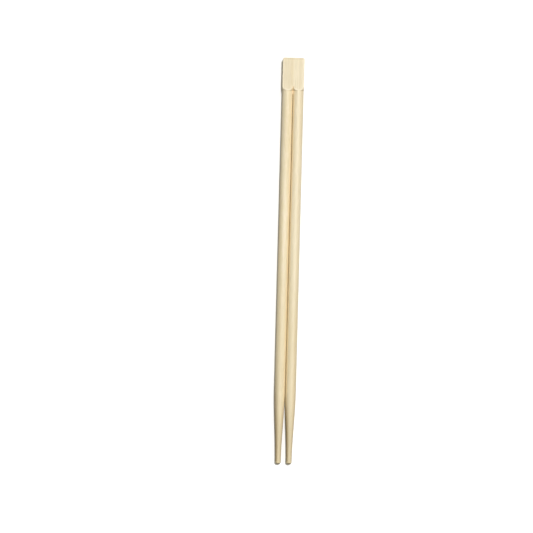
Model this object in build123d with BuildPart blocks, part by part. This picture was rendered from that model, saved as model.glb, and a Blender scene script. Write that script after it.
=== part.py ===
from build123d import *
from math import hypot
import os

# Disposable bamboo chopsticks, still joined at the head. A planed strip of bamboo is cut to two
# round legs, and the sticks part along the middle of the head when they are snapped. They lie
# flat, head towards +Y, with the underside of the head on Z = 0 and the snap line on X = 0.

# Sizes in millimetres, angles in degrees

overall_length = 210.0  # from the end of the head to the tips

leg_diameter = 5.4  # round body of each leg
tip_diameter = 3.0  # each leg where its domed end begins
taper_length = 39.0  # stretch in which a leg narrows towards its tip, with the dome
tip_dome = 0.9  # height of the sanded dome at each tip
slit_width = 0.2  # saw cut between the legs

head_length = 16.75  # from the end of the head to the foot of the shoulders
face_step = 0.12  # how far the broad faces of the head stand above the legs
side_step = 0.1  # how far the narrow faces of the head stand outside the legs
corner_radius = 0.7  # corners of the head, seen from above
edge_radius = 0.25  # sanded edges of the head
scallop_depth = 2.3  # from the foot of the shoulders to the cusp between them

web_height = 1.6  # bridge of bamboo between the legs, where the saw stopped
web_length = 1.8  # how far that bridge reaches below the foot of the shoulders

# Sizes that follow

leg_radius = leg_diameter / 2
tip_radius = tip_diameter / 2
leg_pitch = leg_diameter + slit_width
leg_place = leg_pitch / 2
head_thickness = leg_diameter + 2 * face_step
head_width = leg_pitch + leg_diameter + 2 * side_step
axis_height = head_thickness / 2

head_end = overall_length / 2
tip_end = -overall_length / 2
shoulder_foot = head_end - head_length
taper_start = tip_end + taper_length
dome_foot = tip_end + tip_dome

# The shoulder stands square on the leg and rounds over along a quarter ellipse. It leaves the strip
# at the corner furthest from the axis of the leg, eight tenths of the way out, where the ellipse has
# run four tenths of its length.
furthest_across = max(leg_place, head_width / 2 - leg_place)
shoulder_swell = (hypot(furthest_across, axis_height) - leg_radius) / 0.8
shoulder_run = scallop_depth / 0.4
shoulder_radius = leg_radius + shoulder_swell

# One round leg with its shoulder, as the shaped cutters leave it. The taper is eased where it
# leaves the leg and where it ends.

with BuildPart() as turned_leg:
    with BuildSketch(Plane(origin=(leg_place, 0, axis_height))):
        with BuildLine():
            dome = EllipticalCenterArc((0, dome_foot), tip_radius, tip_dome, start_angle=270, arc_size=90)
            taper = Bezier(
                dome @ 1,
                (tip_radius, (2 * dome_foot + taper_start) / 3),
                (leg_radius, (dome_foot + 2 * taper_start) / 3),
                (leg_radius, taper_start),
            )
            Line(taper @ 1, (leg_radius, shoulder_foot))
            shoulder = EllipticalCenterArc(
                (leg_radius, shoulder_foot + shoulder_run),
                shoulder_swell,
                shoulder_run,
                start_angle=270,
                arc_size=90,
            )
            Polyline(shoulder @ 1, (shoulder_radius, head_end), (0, head_end), dome @ 0)
        make_face()
    revolve(axis=Axis((leg_place, 0, axis_height), (0, 1, 0)))

    # Half of the bridge that the saw leaves standing, with its root buried in the leg and the head
    with BuildSketch(Plane.XY.offset(axis_height)):
        with Locations((leg_place / 2, shoulder_foot + leg_radius / 2 - web_length / 2)):
            Rectangle(leg_place, leg_radius + web_length)
    extrude(amount=web_height / 2, both=True)

# Half of the planed strip with its sanded edges, cut back to the round leg below the head

with BuildPart() as right_stick:
    with BuildSketch():
        Rectangle(head_width, overall_length)
    extrude(amount=head_thickness)
    head_corners = right_stick.edges().filter_by(Axis.Z).group_by(Axis.Y)[-1]
    fillet(head_corners, corner_radius)
    fillet(right_stick.faces().filter_by(Axis.Z).edges(), edge_radius)
    split(bisect_by=Plane.YZ, keep=Keep.TOP)
    add(turned_leg.part, mode=Mode.INTERSECT)

# The other stick is its mirror image across the snap line

with BuildPart() as left_stick:
    mirror(right_stick.part, about=Plane.YZ)

os.makedirs("parts", exist_ok=True)
right_stick.part.label = "right_stick"
left_stick.part.label = "left_stick"
export_step(right_stick.part, "parts/right_stick.step")
export_step(left_stick.part, "parts/left_stick.step")
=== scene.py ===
from math import cos, hypot, pi, radians, sin, sqrt

import bmesh
import bpy
from mathutils import Matrix, Vector


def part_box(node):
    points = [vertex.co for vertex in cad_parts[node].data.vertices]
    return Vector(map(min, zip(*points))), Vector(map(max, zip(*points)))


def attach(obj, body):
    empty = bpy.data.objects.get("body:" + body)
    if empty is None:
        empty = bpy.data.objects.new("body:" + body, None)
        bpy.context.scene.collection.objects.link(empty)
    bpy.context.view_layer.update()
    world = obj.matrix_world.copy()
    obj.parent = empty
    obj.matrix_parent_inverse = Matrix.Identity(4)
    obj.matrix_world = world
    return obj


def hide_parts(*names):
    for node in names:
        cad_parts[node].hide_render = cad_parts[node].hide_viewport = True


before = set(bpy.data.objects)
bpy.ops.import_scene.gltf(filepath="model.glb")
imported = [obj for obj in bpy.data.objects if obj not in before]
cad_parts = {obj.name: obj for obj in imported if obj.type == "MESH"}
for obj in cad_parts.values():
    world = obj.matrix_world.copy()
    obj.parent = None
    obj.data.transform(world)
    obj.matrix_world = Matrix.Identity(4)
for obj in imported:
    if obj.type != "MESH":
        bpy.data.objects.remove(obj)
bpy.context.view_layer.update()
rightLow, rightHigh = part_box("right_stick")
mm = 0.001
speck = 1e-8  # metres; a point this near a plane lies on it
hair = 2e-6  # metres; two points this near are one
print("frame loaded:", sorted(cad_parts))


# Small tools for working in edit mode

def freshStart():
    if bpy.context.object and bpy.context.object.mode != "OBJECT":
        bpy.ops.object.mode_set(mode="OBJECT")
    bpy.ops.object.select_all(action="DESELECT")


def takeUp(piece):  # make it the only selected object
    freshStart()
    bpy.context.view_layer.objects.active = piece
    piece.select_set(True)


def openMesh(piece):
    takeUp(piece)
    bpy.ops.object.mode_set(mode="EDIT")


def pick(kind, test):  # select the verts, edges or faces that pass a test
    bpy.ops.mesh.select_mode(type=kind)
    bpy.ops.mesh.select_all(action="DESELECT")
    mesh = bpy.context.edit_object.data
    parts = bmesh.from_edit_mesh(mesh)
    for part in {"VERT": parts.verts, "EDGE": parts.edges, "FACE": parts.faces}[kind]:
        if test(part):
            part.select_set(True)
    parts.select_flush_mode()
    bmesh.update_edit_mesh(mesh)


def drawOut(rise, scale, centre):  # extrude what is picked along Y and scale its new end
    bpy.ops.mesh.extrude_region_move(TRANSFORM_OT_translate={"value": (0, rise, 0)})
    bpy.ops.transform.resize(value=scale, center_override=centre)


def pressFlat(point, normal):  # press what stands beyond a plane straight back onto it
    point, normal = Vector(point), Vector(normal).normalized()
    pick("VERT", lambda vert: (vert.co - point).dot(normal) > speck)
    across = normal.orthogonal().normalized()
    axes = (across, normal.cross(across), normal)
    bpy.ops.transform.resize(
        value=(1, 1, 0), constraint_axis=(False, False, True), center_override=point,
        orient_type="GLOBAL", orient_matrix=[tuple(axis) for axis in axes], orient_matrix_type="GLOBAL",
    )


# The sticks: a turned leg whose upper end is planed flat for the head

stick = {  # millimetres and degrees
    "legRadius": 2.73,
    "legPlace": 2.8,  # axis of the leg to the snap line
    "tipRadius": 1.43,
    "tipDome": 1.1,
    "taperLength": 39.0,
    "headLength": 16.75,  # end of the head to the foot of the shoulder
    "scallopDepth": 2.3,  # foot of the shoulder to the cusp
    "scallopZone": (0.1, 0.3),  # worn from above the foot to above the top of the shoulder
    "scallopAngle": 9.0,  # edges sharper than this are worn
    "shoulderTurn": 62.0,  # how far the shoulder follows its quarter ellipse
    "cornerRadius": 0.9,
    "edgeRadius": 0.15,
    "edgeFacets": (45.0, 22.5, 67.5),
    "bridgeHeight": 1.6,  # bamboo left by the saw between the legs
    "bridgeLength": 1.8,
    "bridgeTop": 0.8,  # above the foot of the shoulder
    "relief": 0.02,  # depth of the fibre ridges
    "fibre": (0.5, 14.0),  # width and length of a ridge
    "wobble": 0.05,  # depth of the hand-sanded unevenness
    "wobbleCell": (3.0, 17.0),
    "smoothAngle": 32.0,
    "sides": 144,
    "domeSteps": 12,
    "taperSteps": 14,
    "taperRings": 2,  # cut into each step of the taper
    "legRings": 96,
    "bridgeRings": 11,
    "shoulderSteps": 48,
    "headRings": 24,
    "cornerSteps": 8,
}
spare = 0.002 * mm  # keeps the finished sticks inside their solids
headEnd = rightHigh.y - spare
tipEnd = rightLow.y + spare
headHalf = rightHigh.x - spare  # half the width of the head
axisHeight = rightHigh.z / 2
faceHeight = axisHeight - spare  # axis to the broad face
legRadius = stick["legRadius"] * mm
legPlace = stick["legPlace"] * mm
cornerRadius = stick["cornerRadius"] * mm
edgeRadius = stick["edgeRadius"] * mm
shoulderFoot = headEnd - stick["headLength"] * mm
bridgeFoot = shoulderFoot - stick["bridgeLength"] * mm
cuspOut, cuspUp, turnedUp = 0.8, 0.4, 0.55  # shares of the ellipse, at the cusp and where turning ends
shoulderSwell = (hypot(legPlace, axisHeight) - legRadius) / cuspOut  # quarter ellipse out of the leg
shoulderRun = stick["scallopDepth"] * mm / cuspUp
shoulderTop = shoulderFoot + shoulderRun * turnedUp
blankRadius = legRadius + shoulderSwell


def legStations():  # (place along Y, radius, even rings before it)
    tipRadius, tipDome = stick["tipRadius"] * mm, stick["tipDome"] * mm
    domeFoot, taperStart = tipEnd + tipDome, tipEnd + stick["taperLength"] * mm
    for step in range(1, stick["domeSteps"]):
        angle = pi / 2 * step / stick["domeSteps"]
        yield domeFoot - tipDome * cos(angle), tipRadius * sin(angle), 0
    for step in range(stick["taperSteps"] + 1):
        share = 1 - step / stick["taperSteps"]
        narrowing = 3 * share ** 2 - 2 * share ** 3  # eased at both ends
        radius = legRadius - narrowing * (legRadius - tipRadius)
        yield taperStart - share * (taperStart - domeFoot), radius, stick["taperRings"] if step else 0
    yield bridgeFoot, legRadius, stick["legRings"]
    yield shoulderFoot, legRadius, stick["bridgeRings"]
    for step in range(1, stick["shoulderSteps"] + 1):
        angle = radians(stick["shoulderTurn"]) * step / stick["shoulderSteps"]
        out = legRadius + shoulderSwell * sin(angle)
        yield shoulderFoot + shoulderRun * (1 - cos(angle)), out, 0
    yield shoulderTop, blankRadius, 0
    yield headEnd - cornerRadius, blankRadius, stick["headRings"]


def turnLeg(name):
    stations = list(legStations())
    place, radius, _ = stations[0]
    freshStart()
    bpy.ops.mesh.primitive_circle_add(
        vertices=stick["sides"], radius=radius, fill_type="NGON",
        location=(legPlace, place, axisHeight), rotation=(pi / 2, 0, 0),
    )
    bpy.ops.object.transform_apply(location=True, rotation=True, scale=True)
    piece = bpy.context.object
    piece.name = piece.data.name = name
    openMesh(piece)
    bpy.ops.mesh.select_mode(type="FACE")
    bpy.ops.mesh.select_all(action="SELECT")
    for nextPlace, nextRadius, _ in stations[1:]:
        grown = nextRadius / radius
        drawOut(nextPlace - place, (grown, 1, grown), (legPlace, nextPlace, axisHeight))
        place, radius = nextPlace, nextRadius
    for (low, _, _), (high, _, rings) in zip(stations, stations[1:]):
        if rings:
            pick("EDGE", lambda edge: spans(edge, low, high))
            bpy.ops.mesh.subdivide(number_cuts=rings)
    return piece


def spans(edge, low, high):  # true for an edge that runs from one station to the next
    places = sorted(vert.co.y for vert in edge.verts)
    return abs(places[0] - low) < hair and abs(places[1] - high) < hair


def planeHead(piece, side, facets):  # broad faces, outer face and the eased edges between them
    openMesh(piece)
    for level in (1, -1):
        for angle in facets:
            lean = Vector((side * cos(radians(angle)), 0, level * sin(radians(angle))))
            outer = side * (headHalf - edgeRadius)
            centre = Vector((outer, 0, axisHeight + level * (faceHeight - edgeRadius)))
            pressFlat(centre + lean * edgeRadius, lean)
        pressFlat((0, 0, axisHeight + level * faceHeight), (0, 0, level))
    pressFlat((side * headHalf, 0, 0), (side, 0, 0))


def roundEnd(piece):  # last rings of the head, drawn in along the rounded corner
    place = headEnd - cornerRadius
    wide, high = headHalf, faceHeight
    squareOn = 0.99  # Y of a normal that looks along the stick
    openMesh(piece)
    pick("FACE", lambda face: abs(face.normal.y) > squareOn and face.calc_center_median().y > place - hair)
    for step in range(1, stick["cornerSteps"] + 1):
        angle = pi / 2 * step / stick["cornerSteps"]
        nextPlace = headEnd - cornerRadius * (1 - sin(angle))
        nextWide = headHalf - cornerRadius * (1 - cos(angle))
        eased = max(0, nextPlace - headEnd + edgeRadius)
        nextHigh = faceHeight - edgeRadius + sqrt(max(0, edgeRadius ** 2 - eased ** 2))
        drawOut(nextPlace - place, (nextWide / wide, 1, nextHigh / high), (0, nextPlace, axisHeight))
        place, wide, high = nextPlace, nextWide, nextHigh


def softenShoulder(piece):  # the scalloped edge, worn by sanding
    aboveFoot, aboveTop = stick["scallopZone"]
    openMesh(piece)

    def onScallop(edge):
        middle = (edge.verts[0].co.y + edge.verts[1].co.y) / 2
        inZone = shoulderFoot + aboveFoot * mm < middle < shoulderTop + aboveTop * mm
        return inZone and edge.is_manifold and edge.calc_face_angle_signed() > radians(stick["scallopAngle"])

    pick("EDGE", onScallop)
    bpy.ops.mesh.vertices_smooth(factor=0.5, repeat=1)


def roughen(piece, name, depth, cell):  # press a stretched noise into the surface
    freshStart()
    bpy.ops.object.empty_add(location=(0, 0, 0))
    grain = bpy.context.object
    grain.scale = (cell[0] * mm, cell[1] * mm, cell[0] * mm)
    bpy.context.view_layer.update()
    clouds = bpy.data.textures.new(name, "CLOUDS")
    clouds.noise_scale = 1.0
    clouds.noise_depth = 1
    takeUp(piece)
    press = piece.modifiers.new(name, "DISPLACE")
    press.texture = clouds
    press.texture_coords = "OBJECT"
    press.texture_coords_object = grain
    press.mid_level = 0.5
    press.strength = depth * mm
    bpy.ops.object.modifier_apply(modifier=name)
    bpy.data.objects.remove(grain)
    bpy.data.textures.remove(clouds)


def splitAtSnapLine(piece, side):
    openMesh(piece)
    bpy.ops.mesh.select_all(action="SELECT")
    bpy.ops.mesh.bisect(
        plane_co=(0, 0, 0), plane_no=(side, 0, 0), clear_inner=True, use_fill=True, threshold=1e-7,
    )
    # The bridge: the inner wall of the leg drawn out to the snap line
    reach = stick["bridgeHeight"] * mm / 2
    bridgeTop = shoulderFoot + stick["bridgeTop"] * mm

    def onInnerWall(face):
        middle = face.calc_center_median()
        facesSnapLine = face.normal.x * side < -0.5
        return facesSnapLine and abs(middle.z - axisHeight) < reach and bridgeFoot < middle.y < bridgeTop

    pick("FACE", onInnerWall)
    drawOut(0, (0, 1, 1), (0, 0, 0))
    bpy.ops.mesh.select_all(action="SELECT")
    bpy.ops.mesh.remove_doubles(threshold=hair)
    bpy.ops.mesh.normals_make_consistent(inside=False)
    takeUp(piece)
    bpy.ops.object.shade_smooth_by_angle(angle=radians(stick["smoothAngle"]))


def makeStick(hand, side):
    piece = turnLeg(hand + "Stick")
    planeHead(piece, 1, stick["edgeFacets"])
    roundEnd(piece)
    softenShoulder(piece)
    bpy.ops.mesh.select_all(action="SELECT")
    bpy.ops.transform.resize(value=(side, 1, 1), center_override=(0, 0, 0))  # mirrors the left stick
    bpy.ops.mesh.normals_make_consistent(inside=False)
    roughen(piece, "fibreRelief", stick["relief"], stick["fibre"])
    roughen(piece, "handWobble", stick["wobble"], stick["wobbleCell"])
    planeHead(piece, side, ())  # high spots back to the faces of the head
    pressFlat((0, headEnd, 0), (0, 1, 0))
    splitAtSnapLine(piece, side)
    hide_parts(hand + "_stick")
    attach(piece, "root")
    print(piece.name, len(piece.data.vertices), "verts")
    return piece


# Shader maths

class Wire:  # a socket; Python maths on it adds Math nodes
    def __init__(self, tree, socket=None):
        self.tree = tree
        self.socket = socket

    def node(self, kind, settings=None, inputs=None, output=0):
        made = self.tree.nodes.new(kind)
        for name, value in (settings or {}).items():
            setattr(made, name, value)
        for name, value in (inputs or {}).items():
            if isinstance(value, Wire):
                self.tree.links.new(value.socket, made.inputs[name])
            else:
                made.inputs[name].default_value = value
        return Wire(self.tree, made.outputs[output] if made.outputs else None)

    def maths(self, operation, first, second):
        return self.node("ShaderNodeMath", {"operation": operation}, {0: first, 1: second})

    def __add__(self, other):
        return self.maths("ADD", self, other)

    def __radd__(self, other):
        return self.maths("ADD", other, self)

    def __sub__(self, other):
        return self.maths("SUBTRACT", self, other)

    def __rsub__(self, other):
        return self.maths("SUBTRACT", other, self)

    def __mul__(self, other):
        return self.maths("MULTIPLY", self, other)

    def __rmul__(self, other):
        return self.maths("MULTIPLY", other, self)

    def __abs__(self):
        return self.maths("ABSOLUTE", self, 0)

    def __pow__(self, other):
        return self.maths("POWER", self, other)


def blankNodes(owner):  # an emptied node tree to wire up
    owner.use_nodes = True
    owner.node_tree.nodes.clear()
    return Wire(owner.node_tree)


def larger(first, second):
    return first.maths("MAXIMUM", first, second)


def axesOf(vector):
    return [vector.node("ShaderNodeSeparateXYZ", None, {0: vector}, axis) for axis in "XYZ"]


def colourOf(red, green, blue):
    return red.node("ShaderNodeCombineColor", None, {0: red, 1: green, 2: blue})


def tone(red, green, blue):  # colour as a paint program shows it, 0 to 255
    shares = (value / 255 for value in (red, green, blue))
    return (*(s / 12.92 if s <= 0.04045 else ((s + 0.055) / 1.055) ** 2.4 for s in shares), 1)


def fade(value, start, end):  # 0 at start, 1 at end, eased between
    return value.node(
        "ShaderNodeMapRange", {"interpolation_type": "SMOOTHSTEP"}, {0: value, 1: start, 2: end, 3: 0, 4: 1},
    )


def blend(share, first, second, how="MIX"):  # sockets 6 and 7 take the colours, output 2 gives one
    wire = next(part for part in (share, first, second) if isinstance(part, Wire))
    settings = {"data_type": "RGBA", "blend_type": how}
    return wire.node("ShaderNodeMix", settings, {0: share, 6: first, 7: second}, 2)


def stretched(place, across, along, shift):  # coordinates in cells of that many mm
    return place.node(
        "ShaderNodeVectorMath", {"operation": "MULTIPLY_ADD"},
        {0: place, 1: (1 / across, 1 / along, 1 / across), 2: (shift, shift, shift)},
    )


def noise(place, detail=2.0, rough=0.5):
    inputs = {"Vector": place, "Scale": 1.0, "Detail": detail, "Roughness": rough}
    return place.node("ShaderNodeTexNoise", None, inputs)


# Bamboo

bamboo = {  # tones, and ranges in millimetres from where a tone starts to where it is full
    "cream": tone(243, 229, 193),
    "straw": tone(236, 218, 176),
    "blush": tone(246, 228, 199),
    "bundle": tone(214, 190, 145),  # fibre bundles
    "bundleEnd": tone(190, 162, 114),
    "endGrain": tone(228, 211, 174),
    "headEndRange": (1.3, 0.5),  # from the end of the head
    "pale": tone(250, 239, 211),  # the right stick is cut from paler wood
    "paleRange": (-0.4, 0.4),  # across the snap line
    "planed": tone(232, 218, 186),  # broad faces of the head
    "planedRange": (-0.3, -1.8),  # across the snap line
    "edge": tone(250, 237, 208),  # painted highlight along the sanded edges of the head
    "rimHighlightRange": (1.0, 0.3),  # painted highlight, above the scallops
    "sideHighlightRange": (1.2, 0.7),  # painted highlight, in from the sides of the head
    "grooveShade": tone(247, 225, 180),  # warm painted shade and bounce light between the legs
    "grooveRange": (1.5, 0.1),  # in to the snap line
    "grooveTop": (2.6, 1.6),  # above the foot of the shoulder
    "sawn": tone(238, 214, 171),  # bridge where the saw stopped
    "sawnRange": (0.6, 0.25),  # in to the snap line
    "sawnFoot": (-2.2, -1.5),  # above the foot of the shoulder
    "tipwardShade": tone(222, 204, 159),  # painted shade on the lower half of the legs, as if the light fell off towards the tips
    "tipwardShadeRange": (130.0, 60.0),  # up from the tips
    "tan": tone(200, 170, 115),  # streak along the outer side of the right leg
    "tanRange": (125.0, 45.0),  # up from the tips
    "tanInner": (3.5, 4.2),  # out from the snap line
    "tanOuter": (5.4, 4.9),
    # painted shade on the last part of the legs, darker towards the tips
    "tip": tone(214, 196, 156),
    "tipRange": (35.0, 9.0),  # up from the tips
    "flankShade": tone(158, 132, 88),  # painted shade on the sides of the legs towards the tips, stronger on the sides facing left
    "outerRange": (60.0, 13.0),  # up from the tips, on the outer sides
    "outerSide": (2.5, 3.3),  # out from the snap line
    "innerRange": (43.0, 17.0),  # up from the tips, on all sides
    "cap": tone(228, 212, 168),
    "capRange": (2.2, 1.0),  # up from the tips
    "tipGrain": tone(100, 82, 52),  # painted shade on the ends of the tips, which face away from the key light
    "tipGrainRange": (1.4, 1.0),  # up from the tips
    "broadCell": (2.4, 70.0, 3.1),  # width, length and shift of a patch
    "streakCell": (0.9, 24.0, 11.7),
    "fibreCell": (0.16, 5.0, 5.3),
    "blotchCell": (0.8, 4.5, 17.3),
    "bundleCell": (0.55, 26.0, 7.9),
    "roughness": 0.42,
    "bump": 0.06,  # millimetres
}


def surveyStick(start, place):  # where a point lies on the stick, in mm, and which way it looks
    across, along, height = axesOf(place)
    sideward, endward, upward = axesOf(start.node("ShaderNodeNewGeometry", output="Normal"))
    overAxis, overCentre = abs(across) - legPlace / mm, height - axisHeight / mm
    fromAxis = (overAxis * overAxis + overCentre * overCentre) ** 0.5
    swell = (fromAxis - legRadius / mm) * (mm / shoulderSwell)
    ellipse = larger(1 - swell * swell, 0.0) ** 0.5
    aboveFoot = along - shoulderFoot / mm
    aboveScallop = aboveFoot - (1 - ellipse) * (shoulderRun / mm)
    return {
        "across": across, "sideward": sideward, "endward": endward, "upward": upward,
        "fromTip": along - tipEnd / mm, "fromHeadEnd": headEnd / mm - along,
        "aboveFoot": aboveFoot, "aboveScallop": aboveScallop,
        "onHead": fade(aboveScallop, -0.1, 0.1) * fade(aboveFoot, 0.0, 0.15),
    }


def growGrain(place):  # patches and fibre bundles drawn out along the cane
    bundleSpot = place.node(
        "ShaderNodeTexVoronoi", {"feature": "F1"},
        {"Vector": stretched(place, *bamboo["bundleCell"]), "Scale": 1.0, "Randomness": 0.9}, "Distance",
    )
    return {
        "broad": noise(stretched(place, *bamboo["broadCell"])),
        "streak": noise(stretched(place, *bamboo["streakCell"]), detail=3.0, rough=0.55),
        "fibre": noise(stretched(place, *bamboo["fibreCell"]), rough=0.6),
        "blotch": noise(stretched(place, *bamboo["blotchCell"])),
        "bundle": fade(bundleSpot, 0.26, 0.14),
    }


def woodTone(spot, grain):
    colour = blend(fade(grain["broad"], 0.35, 0.65), bamboo["cream"], bamboo["straw"])
    colour = blend(fade(grain["streak"], 0.5, 0.72) * 0.6, colour, bamboo["blush"])
    colour = blend(fade(grain["blotch"], 0.52, 0.68) * 0.6, colour, bamboo["blush"])
    colour = blend(fade(grain["blotch"], 0.48, 0.34) * 0.45, colour, bamboo["straw"])
    colour = blend(grain["bundle"] * 0.6, colour, bamboo["bundle"])
    colour = blend(fade(spot["across"], *bamboo["paleRange"]) * 0.38, colour, bamboo["pale"])
    # painted shade, darker towards the tips
    return blend(fade(spot["fromTip"], *bamboo["tipwardShadeRange"]) * 0.4, colour, bamboo["tipwardShade"])


def dressHead(colour, spot):  # planed faces, and a painted highlight along the sanded sides and above the scallops
    across, onHead = spot["across"], spot["onHead"]
    planed = onHead * (0.25 + 0.35 * fade(across, *bamboo["planedRange"]))
    colour = blend(planed, colour, bamboo["planed"])
    scallopHighlight = fade(spot["aboveScallop"], *bamboo["rimHighlightRange"]) * onHead
    sides = fade(headHalf / mm - abs(across), *bamboo["sideHighlightRange"]) * onHead
    litSideWeight = 0.4 + 0.5 * fade(across, -1.0, 1.0)  # the painted highlight is stronger on the right side, where the light comes from
    # painted highlight on the sanded edges, on the broad faces only
    wearAndHighlight = larger(scallopHighlight, sides * litSideWeight) * fade(abs(spot["upward"]), 0.8, 0.95)
    colour = blend(wearAndHighlight, colour, bamboo["edge"])
    # darker band along the end of the head, in the end-grain tone
    return blend(fade(spot["fromHeadEnd"], *bamboo["headEndRange"]) * 0.6, colour, bamboo["endGrain"])


def dressLegs(colour, spot, grain):  # streak, end grain, painted shade in the groove and the saw's stop
    across, aboveFoot = spot["across"], spot["aboveFoot"]
    tanStreak = fade(across, *bamboo["tanInner"]) * fade(across, *bamboo["tanOuter"]) * (1 - spot["onHead"])
    tanShare = 0.16 + 0.1 * fade(spot["fromTip"], *bamboo["tanRange"])
    colour = blend(tanStreak * tanShare, colour, bamboo["tan"])
    cutAcross = fade(abs(spot["endward"]), 0.25, 0.8)
    colour = blend(cutAcross * 0.7, colour, bamboo["endGrain"])
    colour = blend(cutAcross * grain["bundle"] * 0.6, colour, bamboo["bundleEnd"])
    belowCusp = fade(aboveFoot, *bamboo["grooveTop"])
    # warm painted shade between the legs, where little light reaches
    grooveShadeShare = fade(abs(across), *bamboo["grooveRange"]) * belowCusp
    colour = blend(grooveShadeShare * 0.45, colour, bamboo["grooveShade"])
    sawEnd = fade(abs(across), *bamboo["sawnRange"]) * fade(aboveFoot, *bamboo["sawnFoot"]) * belowCusp
    return blend(sawEnd * 0.8, colour, bamboo["sawn"])


def dressTips(colour, spot, grain):
    fromTip, sideward = spot["fromTip"], spot["sideward"]
    # painted shade, darker towards the tips
    colour = blend(fade(fromTip, *bamboo["tipRange"]) * 0.75, colour, bamboo["tip"])
    # painted shade: strong on the sides facing left, away from the light, weaker on the sides facing right
    flankShade = fade(sideward, -0.15, -0.85) * 0.75 + fade(sideward, 0.5, 1.0) * 0.3
    outside = fade(abs(spot["across"]), *bamboo["outerSide"]) * fade(fromTip, *bamboo["outerRange"])
    shadeReach = larger(outside, fade(fromTip, *bamboo["innerRange"]))
    colour = blend(flankShade * shadeReach, colour, bamboo["flankShade"])
    colour = blend(fade(fromTip, *bamboo["capRange"]) * 0.6, colour, bamboo["cap"])
    # painted shade on the ends of the tips, flecked with the fibre bundles
    tipEndShadeShare = fade(spot["endward"], -0.2, -0.7) * fade(fromTip, *bamboo["tipGrainRange"])
    return blend(tipEndShadeShare * (0.65 + 0.3 * grain["bundle"]), colour, bamboo["tipGrain"])


def makeBamboo():
    material = bpy.data.materials.new("bamboo")
    start = blankNodes(material)
    metres = start.node("ShaderNodeTexCoord", output="Object")
    place = start.node("ShaderNodeVectorMath", {"operation": "SCALE"}, {0: metres, "Scale": 1 / mm})
    spot, grain = surveyStick(start, place), growGrain(place)
    fibre, streak = grain["fibre"], grain["streak"]
    colour = woodTone(spot, grain)
    colour = dressHead(colour, spot)
    colour = dressLegs(colour, spot, grain)
    colour = dressTips(colour, spot, grain)
    shade = 0.8 + 0.32 * fibre + 0.08 * streak
    colour = blend(1.0, colour, colourOf(shade, shade, shade), "MULTIPLY")
    roughness = bamboo["roughness"] + 0.12 * streak + 0.16 * spot["onHead"]  # the head is only planed
    relief = fibre * 0.6 + streak * 0.3 + grain["bundle"] * 0.2
    bump = relief.node(
        "ShaderNodeBump", None, {"Strength": 0.35, "Distance": bamboo["bump"] * mm, "Height": relief},
    )
    shader = start.node(
        "ShaderNodeBsdfPrincipled", None,
        {"Base Color": colour, "Roughness": roughness, "Normal": bump, "Specular IOR Level": 0.5},
    )
    start.node("ShaderNodeOutputMaterial", None, {"Surface": shader})
    return material


# Camera, floor and light

camera = {  # millimetres
    "aim": (-11.34, -3.01, 2.7),
    "lean": (0.0, 0.0, 1.0),  # from the pair towards the camera
    "away": 1200.0,
    "roll": 0.026,  # radians
    "lens": 156.75,
    "sensor": 36.0,
    "farthest": 20000.0,
}


def placeCamera():
    back = Vector(camera["lean"]).normalized()
    up = (Vector((0, 1, 0)) - back * back.y).normalized()
    turn = Matrix.Rotation(camera["roll"], 3, back)
    axes = Matrix((turn @ up.cross(back), turn @ up, back)).transposed()
    freshStart()
    bpy.ops.object.camera_add(
        location=(Vector(camera["aim"]) + back * camera["away"]) * mm, rotation=axes.to_euler(),
    )
    eye = bpy.context.object
    eye.name = "photoCamera"
    eye.data.sensor_width = camera["sensor"]
    eye.data.lens = camera["lens"]
    eye.data.clip_end = camera["farthest"] * mm
    bpy.context.scene.camera = eye
    print("camera placed", tuple(round(v, 3) for v in eye.location))


studio = {
    "keyFrom": (0.14, 0.25, 1.0),  # towards the lamp
    "keyStrength": 2.38,
    "keyAngle": 4.0,  # degrees across
    "fillFrom": (1.0, 0.2, 0.9),
    "fillStrength": 0.45,
    "fillAngle": 50.0,
    "sky": 0.175,
    "floorTone": 0.5,  # what the floor throws back onto the pair
    "floorShown": (1.06, 1.055, 1.08),  # what the camera sees of it
    "floorGlow": (0.075, 0.07, 0.03),  # warms the shadows, for the camera alone
    "floorSize": 5.0,  # metres
    "floorDrop": 0.02,  # millimetres under the pair
}


def lightStudio():
    for name in ("key", "fill"):
        freshStart()
        turn = Vector(studio[name + "From"]).to_track_quat("Z", "Y").to_euler()
        bpy.ops.object.light_add(type="SUN", rotation=turn)
        lamp = bpy.context.object
        lamp.name = name + "Lamp"
        lamp.data.energy = studio[name + "Strength"]
        lamp.data.angle = radians(studio[name + "Angle"])
    world = bpy.data.worlds.new("studioSky")
    bpy.context.scene.world = world
    start = blankNodes(world)
    seen = start.node("ShaderNodeLightPath", output="Is Camera Ray")
    strength = studio["sky"] + (1 - studio["sky"]) * seen
    sky = start.node("ShaderNodeBackground", None, {"Color": (1, 1, 1, 1), "Strength": strength})
    start.node("ShaderNodeOutputWorld", None, {"Surface": sky})


def layFloor():
    freshStart()
    bpy.ops.mesh.primitive_plane_add(size=studio["floorSize"], location=(0, 0, -studio["floorDrop"] * mm))
    floor = bpy.context.object
    floor.name = "paleFloor"
    material = bpy.data.materials.new("paleFloor")
    start = blankNodes(material)
    seen = start.node("ShaderNodeLightPath", output="Is Camera Ray")
    shades = (seen * (shown - studio["floorTone"]) + studio["floorTone"] for shown in studio["floorShown"])
    matt = start.node("ShaderNodeBsdfDiffuse", None, {"Color": colourOf(*shades)})
    glows = (seen * share for share in studio["floorGlow"])
    glow = start.node("ShaderNodeEmission", None, {"Color": colourOf(*glows)})
    both = start.node("ShaderNodeAddShader", None, {0: matt, 1: glow})
    start.node("ShaderNodeOutputMaterial", None, {"Surface": both})
    floor.data.materials.append(material)


placeCamera()
lightStudio()
layFloor()
print("studio ready")
sticks = (makeStick("left", -1), makeStick("right", 1))
bambooSkin = makeBamboo()
for piece in sticks:
    piece.data.materials.clear()
    piece.data.materials.append(bambooSkin)
print("sticks finished")

bpy.context.scene.view_settings.view_transform = "Standard"
